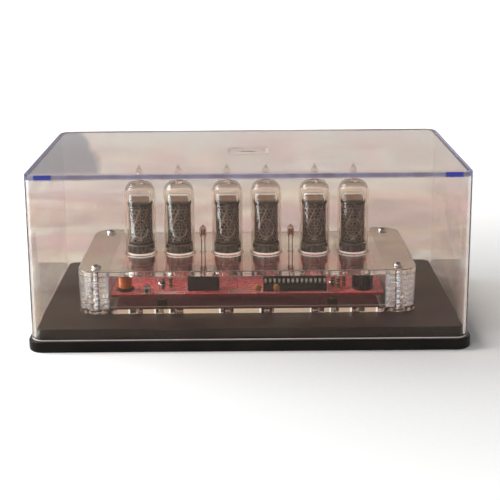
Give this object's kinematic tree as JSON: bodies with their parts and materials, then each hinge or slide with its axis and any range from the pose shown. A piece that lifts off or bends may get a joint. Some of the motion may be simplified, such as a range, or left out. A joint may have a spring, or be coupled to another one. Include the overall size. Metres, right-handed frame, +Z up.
{
  "type": "nixie tube clock",
  "caption": "Digital clock of glass numeral tubes on a clear layered case, in a clear display cover on a dark plinth.",
  "frame": {"origin": "middle of the plinth's flat underside", "axes": "+Z up, -Y towards the viewer of the tubes, +X to the viewer's right"},
  "size_m": [0.24, 0.13, 0.0975],
  "materials": {
    "dark_plinth": "satin, nearly black brown",
    "clear_cover": "polished clear, bluish at the edges",
    "clear_acrylic": "polished faces, laser cut edges",
    "screw_steel": "turned, bright",
    "standoff_brass": "nickel plated",
    "red_board": "solder mask with white legend lines",
    "tube_glass": "clear blown glass",
    "stem_glass": "dark, with a grey mirror tint",
    "anode_metal": "etched mesh and folded strip, brown grey",
    "numeral_wire": "thin etched strip",
    "lamp_glass": "clear glass with electrodes inside",
    "tinned_wire": "tinned, dull",
    "chip_black": "moulded, matt",
    "socket_black": "moulded, matt",
    "capacitor_black": "smooth case",
    "ferrite": "dull, grainy",
    "copper_wire": "enamelled copper",
    "ochre_ceramic": "dipped lacquer",
    "blue_lacquer": "lacquered body with colour bands",
    "tan_lacquer": "lacquered body with colour bands",
    "can_steel": "stamped sheet",
    "button_black": "moulded"
  },
  "bodies": {
    "clock_on_plinth": {"plinth": "dark_plinth", "bottom_plate": "clear_acrylic", "top_plate": "clear_acrylic", "end_layer_1": "clear_acrylic", "end_layer_2": "clear_acrylic", "end_layer_3": "clear_acrylic", "end_layer_4": "clear_acrylic", "end_layer_5": "clear_acrylic", "end_layer_6": "clear_acrylic", "stack_screws": "screw_steel", "stack_nuts": "screw_steel", "board_standoffs": "standoff_brass", "board_screws": "screw_steel", "circuit_board": "red_board", "tube_1_glass": "tube_glass", "tube_2_glass": "tube_glass", "tube_3_glass": "tube_glass", "tube_4_glass": "tube_glass", "tube_5_glass": "tube_glass", "tube_6_glass": "tube_glass", "tube_1_stem": "stem_glass", "tube_2_stem": "stem_glass", "tube_3_stem": "stem_glass", "tube_4_stem": "stem_glass", "tube_5_stem": "stem_glass", "tube_6_stem": "stem_glass", "tube_1_anode_cage": "anode_metal", "tube_2_anode_cage": "anode_metal", "tube_3_anode_cage": "anode_metal", "tube_4_anode_cage": "anode_metal", "tube_5_anode_cage": "anode_metal", "tube_6_anode_cage": "anode_metal", "tube_1_numerals": "numeral_wire", "tube_2_numerals": "numeral_wire", "tube_3_numerals": "numeral_wire", "tube_4_numerals": "numeral_wire", "tube_5_numerals": "numeral_wire", "tube_6_numerals": "numeral_wire", "neon_lamp_bulbs": "lamp_glass", "neon_lamp_leads": "tinned_wire", "microcontroller": "chip_black", "chip_socket": "socket_black", "cathode_driver": "chip_black", "film_capacitor": "capacitor_black", "reservoir_capacitor": "capacitor_black", "inductor_core": "ferrite", "inductor_winding": "copper_wire", "disc_capacitors": "ochre_ceramic", "blue_resistor": "blue_lacquer", "tan_resistors": "tan_lacquer", "power_transistor": "chip_black", "timing_crystal": "can_steel", "power_inlet": "socket_black", "set_switch_body": "can_steel", "adjust_switch_body": "can_steel"},
    "cover": {"display_cover": "clear_cover"},
    "set_key": {"set_button": "button_black"},
    "adjust_key": {"adjust_button": "button_black"}
  },
  "joints": [
    {"name": "cover_lift", "type": "slide", "parent": "clock_on_plinth", "child": "cover", "axis": [0, 0, 1], "range_m": [0, 0.1]},
    {"name": "set_press", "type": "slide", "parent": "clock_on_plinth", "child": "set_key", "axis": [0, 1, 0], "range_m": [0, 0.00025], "stiffness_N_per_m": 1500, "springref_m": -0.0005},
    {"name": "adjust_press", "type": "slide", "parent": "clock_on_plinth", "child": "adjust_key", "axis": [0, -1, 0], "range_m": [0, 0.00025], "stiffness_N_per_m": 1500, "springref_m": -0.0005}
  ]
}
